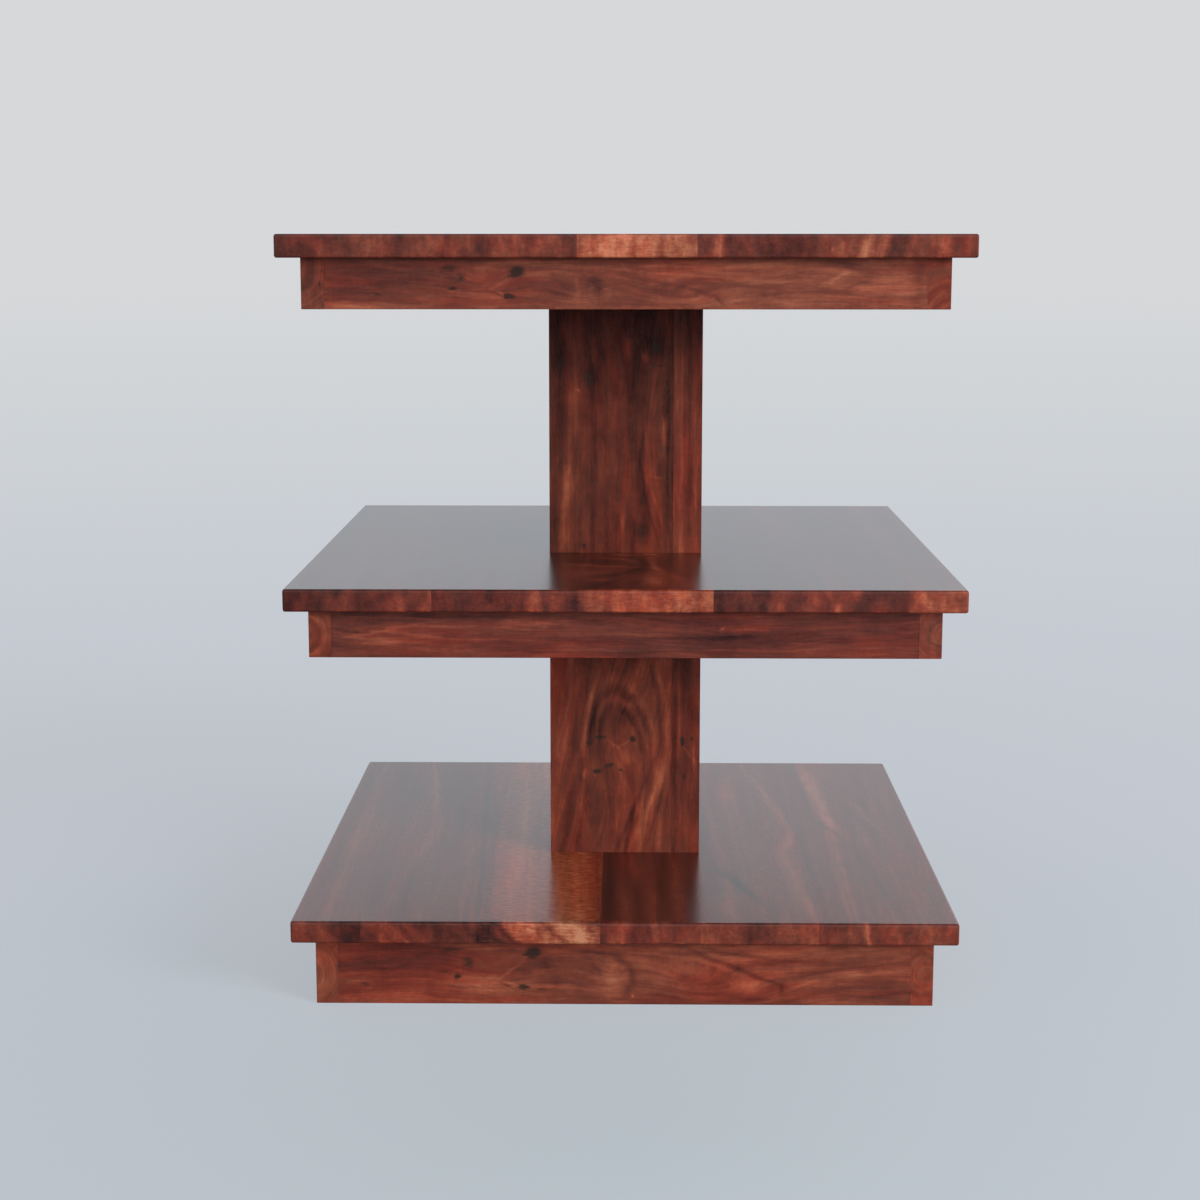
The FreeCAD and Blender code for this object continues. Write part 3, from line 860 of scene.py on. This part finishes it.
frontFigures["lower_column_front_board"] = {
    "tone": 0.49,
    "lean": -0.12,
    "wander": 6.0,
    "flame": 0.14,
    "streak": 0.11,
    "thread": 0.07,
    "mottle": 0.24,
    "eyes": [(196, -3, 44, 22, 20, 4), (110, -20, 40, 16, -8, 0)],
    "knots": [
        (184, -23, 2.2, 6.0, -8, 1.2), (183, 7, 3.2, 3.0, 0, 1.2), (179, -32, 3, 5, 0, 0.6),
        (153, -25, 2.4, 5, 5, 0.85), (158, -14, 2.4, 5.5, -15, 1.0), (154, -4, 2.2, 2.8, 0, 0.8),
    ],
    "clouds": [
        (200, -5, 15, 15, -0.14), (216, -1, 3.4, 12, 0.14), (166, -22, 9, 8, -0.05),
        (164, 2, 6, 6, 0.14), (124, -24, 16, 12, -0.12), (150.7, -36.6, 3, 2.0, 0.24),
        (92, -20, 14, 20, -0.08), (262, 8, 9, 12, -0.12), (110, -64, 30, 6, 0.08),
        (110, -36, 24, 5, 0.08, -10), (130, -6, 12, 8, -0.06), (250, -20, 16, 20, -0.05),
    ],
    "arches": [
        (168, -4, 70, 32, 2.6, 0.09, -6), (166, -4, 62, 28, 2.8, -0.14, -6),
        (166, -4, 55, 24, 2.0, 0.09, -6), (166, -4, 48, 20, 2.6, -0.12, -6),
        (168, -5, 40, 16, 2.0, 0.08, -6),
    ],
    "strokes": [
        (183, -18, 175, -6, 0.9, 0.14), (183, 5, 175, -5.5, 0.9, 0.14), (175, -6, 166, -2, 1.2, 0.1),
        (262, 26, 214, 37, 2.6, 0.16), (214, 37, 166, 38, 3.0, 0.15), (166, 38, 132, 27, 3.2, 0.13),
        (132, 27, 78, 4, 3.4, 0.15), (150, 30, 80, 14, 2.4, 0.12), (150, 21, 78, -8, 2.2, -0.16),
        (140, 36, 84, 20, 1.8, -0.16), (262, -18, 222, -30, 2.4, 0.12), (222, -30, 183, -38, 2.4, 0.12),
        (183, -38, 100, -62, 2.4, 0.12), (184, -33, 120, -46, 2.4, -0.1),
        (120, -46, 78, -56, 2.2, -0.12), (240, -42, 127, -64, 2.4, 0.1), (268, 18, 232, 28, 2.0, -0.12),
        (232, 30, 180, 32, 1.8, -0.12),
        (60, boardEnd, 320, boardEnd, seamLine, -0.16),
    ],
}
frontFigures["lower_column_right_board"] = {
    "tone": 0.42,
    "wander": 3.0,
    "eyes": [(212, 60, 26, 5, 5, 0)],
    "knots": [
        (181, 52, 5.0, 2.6, 0, 1.15), (183, 60.5, 3.0, 2.2, 0, 0.8), (148, 54, 3.6, 2.0, 0, 0.9),
    ],
    "clouds": [
        (164, 62, 10, 3.0, 0.2), (262, 55, 30, 30, -0.08), (110, 50, 30, 4, 0.08),
        (210, 60, 14, 4, -0.12),
    ],
    "strokes": [
        (260, 46, 90, 45, 1.2, -0.12), (250, 50, 180, 49, 1.2, 0.12), (178, 50, 165, 60, 1.0, 0.14),
    ],
}
frontFigures["upper_column_front_board"] = {
    "tone": 0.405,
    "cast": (1.0, 0.95, 0.9),
    "broad": 0.22,
    "mottle": 0.24,
    "grit": 0.6,
    "flame": 0.08,
    "streak": 0.08,
    "thread": 0.07,
    "wander": 7.0,
    "eyes": [(470, 28, 44, 12, 10, 0), (560, -10, 26, 22, 14, 10)],
    "knots": [
        (360, -37, 2.6, 2.2, 0, 1.0), (536, 26, 8, 5, 20, 0.7), (508, -32, 12, 6, 0, 0.62),
        (522, -56, 7, 8, 0, 0.55), (520, 30, 2, 8, 0, 0.7), (374, 14, 8, 8, 0, 0.5),
    ],
    "clouds": [
        # the first cloud darkens the top of the board under the top shelf: partly the wood's own darker
        # tone, partly painted shade
        (600, -5, 90, 130, -0.18), (522, -55, 16, 10, -0.14), (510, -32, 16, 9, -0.18),
        (533, 2, 8, 4, 0.14), (528, 17, 4, 4, 0.24, 30), (548, 30, 16, 10, -0.16),
        (536, 26, 10, 12, -0.1), (512, 4, 14, 9, -0.1), (486, 10, 14, 12, -0.08),
        (500, -43, 14, 5, 0.1), (420, -8, 44, 13, 0.06), (383, -2, 8, 3, 0.2),
        (499, -41.5, 1.4, 1.2, 0.28), (374, 16, 10, 10, -0.14), (412, -51, 26, 7, 0.16),
        (366, -56, 14, 8, 0.12), (455, 33, 14, 3, 0.12), (430, 26, 8, 3, 0.08),
        (496, -46, 46, 5, 0.12, 2), (527, -28, 8, 2.4, 0.14), (385, -55, 34, 6, 0.12),
        (374, -33, 20, 4, 0.12), (487, -7, 26, 14, 0.05), (463, 32, 16, 3, 0.14),
        (428, 30, 10, 5, -0.14), (482, 34, 16, 3, -0.12), (430, -30, 30, 6, -0.06),
        (440, 4, 30, 5, -0.08), (408, 14, 26, 5, -0.08),
    ],
    "strokes": [
        (508, 26, 470, 17, 1.8, 0.1), (470, 17, 425, 19, 1.6, 0.12), (425, 19, 378, 33, 1.8, 0.15),
        (500, 22, 440, 13, 1.8, -0.14), (440, 13, 400, 18, 1.6, -0.12), (400, 18, 362, 29, 1.6, -0.12),
        (480, 32, 440, 34, 1.6, 0.14), (500, 38, 400, 37, 1.6, -0.16), (424, 23, 420, 32, 1.0, 0.14),
        (430, -52, 354, -57, 2.4, 0.1), (400, -28, 354, -30, 2.2, -0.08),
        (410, -62, 354, -62, 2.2, -0.08),
        (340, boardEnd, 590, boardEnd, seamLine, -0.16),
    ],
}
frontFigures["upper_column_right_board"] = {
    "tone": 0.495,
    "wander": 3.0,
    "clouds": [
        # the first cloud darkens the top of the board under the top shelf: partly the wood's own darker
        # tone, partly painted shade
        (600, 55, 90, 90, -0.18), (450, 62, 60, 3, 0.12), (400, 58, 14, 5, -0.1),
        (360, 60, 14, 6, 0.14),
    ],
    "strokes": [
        (560, 50, 380, 50, 1.2, 0.12), (540, 56, 420, 57, 1.2, -0.1), (420, 62, 380, 63, 1.4, 0.14),
    ],
}


# A board seen only from the sides or from behind has a few eyes, clouds and knots by chance. Sizes
# of eyes and clouds are shares of its width, and the places of a knot's marks lie about it.
chanceLook = {
    "tone": (0.48, 0.56),
    "eyes": 2,
    "eye": (0.7, 0.25),
    "eyePush": 0.35,
    "eyeCloud": (0.5, 0.2),
    "eyeCloudLift": 0.12,
    "clouds": 3,
    "cloud": (0.8, 0.25),
    "cloudLift": 0.15,
    "knotChance": 0.6,
    "knotMargin": 0.5,
    "knotEye": (20, 7, 7, 0),
    "knots": [(0, 0, 5, 3.2, 20, 1.2), (12, -5, 4, 2, -15, 0.9)],
    "knotStroke": (-16, -2, 4, 5, 1.0, 0.2),
}


def chanceFigure(seed, spans):
    look = chanceLook
    draw = random.Random(seed)
    (a1, a2), (b1, b2) = spans
    width = b2 - b1
    figure = {"tone": draw.uniform(*look["tone"]), "eyes": [], "knots": [], "clouds": []}
    eye, eyeCloud, cloud = (
        [width * share for share in look[kind]] for kind in ("eye", "eyeCloud", "cloud")
    )
    for _ in range(look["eyes"]):
        a, b = draw.uniform(a1, a2), draw.uniform(b1, b2)
        push = draw.uniform(-look["eyePush"], look["eyePush"]) * width
        lift = draw.choice((-look["eyeCloudLift"], look["eyeCloudLift"]))
        figure["eyes"].append((a, b, *eye, push, 0))
        figure["clouds"].append((a, b, *eyeCloud, lift))
    for _ in range(look["clouds"]):
        a, b = draw.uniform(a1, a2), draw.uniform(b1, b2)
        lift = draw.uniform(-look["cloudLift"], look["cloudLift"])
        figure["clouds"].append((a, b, *cloud, lift))
    if draw.random() < look["knotChance"]:
        margin = width * look["knotMargin"]
        a, b = draw.uniform(a1 + margin, a2 - margin), draw.uniform(b1, b2)
        figure["eyes"].append((a, b, *look["knotEye"]))
        figure["knots"] = [(a + along, b + across, *rest) for along, across, *rest in look["knots"]]
        fromAlong, fromAcross, toAlong, toAcross, *rest = look["knotStroke"]
        ends = (a + fromAlong, b + fromAcross, a + toAlong, b + toAcross)
        figure["strokes"] = [(*ends, *rest)]
    return figure


def finishBoard(node, grain, face, seed):
    low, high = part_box(node)
    axes = (axisNumber[grain], axisNumber[face])
    spans = [(low[axis] * toMillimetres, high[axis] * toMillimetres) for axis in axes]
    sheesham(node, grain, face, seed, frontFigures.get(node) or chanceFigure(seed, spans))


sides = ("front", "right", "back", "left")
frames = ("plinth", "middle_frame", "top_frame")
firstSeeds = {"rails": 20, "columns": 40}


def finishRails():
    for row, level in enumerate(frames):
        for number, side in enumerate(sides):
            node = f"{level}_{side}_rail"
            grain = "x" if side in ("front", "back") else "y"
            finishBoard(node, grain, "z", firstSeeds["rails"] + row * len(sides) + number)
    print("rails finished")


def finishColumns():
    for row, level in enumerate(("lower", "upper")):
        for number, side in enumerate(sides):
            node = f"{level}_column_{side}_board"
            face = "y" if side == "left" else "x"
            finishBoard(node, "z", face, firstSeeds["columns"] + row * len(sides) + number)
    print("columns finished")


# Pieces that only show from below or on the bench: planed timber, dowels and steel
plainGrain = {
    "keyStep": 5.17,
    "sway": ((160.0, 60.0, 60.0), (0,), 0.0),  # noises, as in grainNoises
    "rings": ((4.0, 300.0, 4.0), (0,), 1.0),
    "fibre": ((0.7, 14.0, 0.7), (1,), 1.0),
    "slow": ((70.0, 30.0, 30.0), (0,), 0.0),
    "swayReach": 14.0,
    "shares": {"rings": 0.6, "fibre": 0.25, "slow": 0.25},
    "drop": 0.05,
    "planePitch": 2.2,
    "fibreRelief": 0.6,
    "fibreRoughness": 0.15,
    "bump": {"Strength": 0.3, "Distance": 0.0002},
    "gloss": 0.3,
}
innerTimber = {
    "tones": [(0.25, (0.30, 0.165, 0.080)), (0.50, (0.42, 0.250, 0.130)), (0.80, (0.54, 0.350, 0.200))],
    "planeMarks": 0.05,
    "roughness": 0.62,
}
beech = {
    "tones": [(0.2, (0.46, 0.290, 0.160)), (0.5, (0.58, 0.390, 0.230)), (0.8, (0.68, 0.490, 0.310))],
    "planeMarks": 0.0,
    "roughness": 0.55,
}


def plainWood(name, grain, seed, timber):
    # light timber: growth rings, fibres and the fine marks of the plane across the grain
    wood = newFinish(name)
    parts = millimetres(wood)
    along = parts.pop(axisNumber[grain])
    side, back = parts
    key = seed * plainGrain["keyStep"]
    sway = wood.noise(plainGrain["sway"], (along, side, back), key) * plainGrain["swayReach"]
    rings = wood.noise(plainGrain["rings"], (side + sway, along, back + sway), key)
    fibre = wood.noise(plainGrain["fibre"], (side, along, back), key)
    slow = wood.noise(plainGrain["slow"], (along, side, back), key)
    planed = (along * (math.tau / plainGrain["planePitch"])).maths("SINE")
    shares = plainGrain["shares"]
    tone = rings * shares["rings"] + fibre * shares["fibre"] + slow * shares["slow"]
    colour = wood.ramp(tone - plainGrain["drop"], timber["tones"])
    relief = fibre * plainGrain["fibreRelief"] + planed * timber["planeMarks"]
    normal = wood.add("Bump", inputs={**plainGrain["bump"], "Height": relief})
    rough = (fibre - 0.5) * plainGrain["fibreRoughness"] + timber["roughness"]
    inputs = {"Base Color": colour, "Roughness": rough, "Normal": normal}
    inputs["Specular IOR Level"] = plainGrain["gloss"]
    wood.show(wood.add("BsdfPrincipled", inputs=inputs))
    return wood


timberSeeds = {"bearers": 0, "cornerBlocks": 3, "endBlocks": 6, "columnDowels": 11, "dowels": 12}


def finishInnerTimber():
    for number, level in enumerate(frames):
        bearer = f"{level}_bearer"
        low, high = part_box(bearer)
        grain = "x" if high.x - low.x > high.y - low.y else "y"
        wear(bearer, plainWood(bearer, grain, timberSeeds["bearers"] + number, innerTimber))
        blocks = f"{level}_corner_blocks"
        wear(blocks, plainWood(blocks, "z", timberSeeds["cornerBlocks"] + number, innerTimber))
    for number, level in enumerate(("lower", "upper")):
        for end in ("bottom", "top"):
            block = f"{level}_column_{end}_block"
            seed = timberSeeds["endBlocks"] + number * 2
            wear(block, plainWood(block, "z", seed, innerTimber))
    print("inner timber finished")


def finishDowels():
    wear("column_dowels", plainWood("beech", "z", timberSeeds["columnDowels"], beech))
    for number, level in enumerate(frames):
        seed = timberSeeds["dowels"] + number
        wear(f"{level}_dowels", plainWood(f"{level}_beech", "y", seed, beech))
    print("dowels finished")


zincSteel = {
    "tones": [(0.3, (0.42, 0.43, 0.45)), (0.5, (0.56, 0.57, 0.58)), (0.7, (0.66, 0.66, 0.64))],
    "spangle": ((2.2, 2.2, 2.2), (), 2.0),  # noises, as in grainNoises
    "scratch": ((0.3, 0.3, 5.0), (), 1.0),
    "roughness": 0.34,
    "spangleRoughness": 0.25,
    "scratchRoughness": 0.2,
    "scratchRelief": 0.1,
    "threadPitch": 1.5,
    "bump": 0.5,
    "bumpDistance": 0.0002,
    "threadDistance": 0.0006,
}


def makeSteel(name, threaded):
    steel = newFinish(name)
    x, y, z = millimetres(steel)
    spangle = steel.noise(zincSteel["spangle"], (x, y, z))
    scratch = steel.noise(zincSteel["scratch"], (x, y, z))
    colour = steel.ramp(spangle, zincSteel["tones"])
    roughness = (spangle - 0.5) * zincSteel["spangleRoughness"]
    roughness = roughness + (scratch - 0.5) * zincSteel["scratchRoughness"] + zincSteel["roughness"]
    relief = scratch * zincSteel["scratchRelief"]
    if threaded:
        turns = z * (math.tau / zincSteel["threadPitch"]) + y.maths("ARCTAN2", x)
        relief = relief + turns.maths("SINE")
    distance = zincSteel["threadDistance" if threaded else "bumpDistance"]
    bump = {"Strength": zincSteel["bump"], "Distance": distance, "Height": relief}
    normal = steel.add("Bump", inputs=bump)
    inputs = {"Base Color": colour, "Roughness": roughness, "Normal": normal, "Metallic": 1.0}
    steel.show(steel.add("BsdfPrincipled", inputs=inputs))
    return steel


def finishSteel():
    plated = makeSteel("zincPlated", threaded=False)
    for shelf in shelfFigure:
        wear(f"{shelf}_shelf_screws", plated)
    wear("tie_rod_nuts", plated)
    wear("tie_rod_washers", plated)
    wear("tie_rod", makeSteel("zincPlatedRod", threaded=True))
    print("steel finished")


makeCamera()
makeFloor()
makeSky()
makeKeyLamp()
print("studio made")
finishShelves()
finishRails()
finishColumns()
finishInnerTimber()
finishDowels()
finishSteel()

bpy.context.scene.view_settings.view_transform = "Standard"
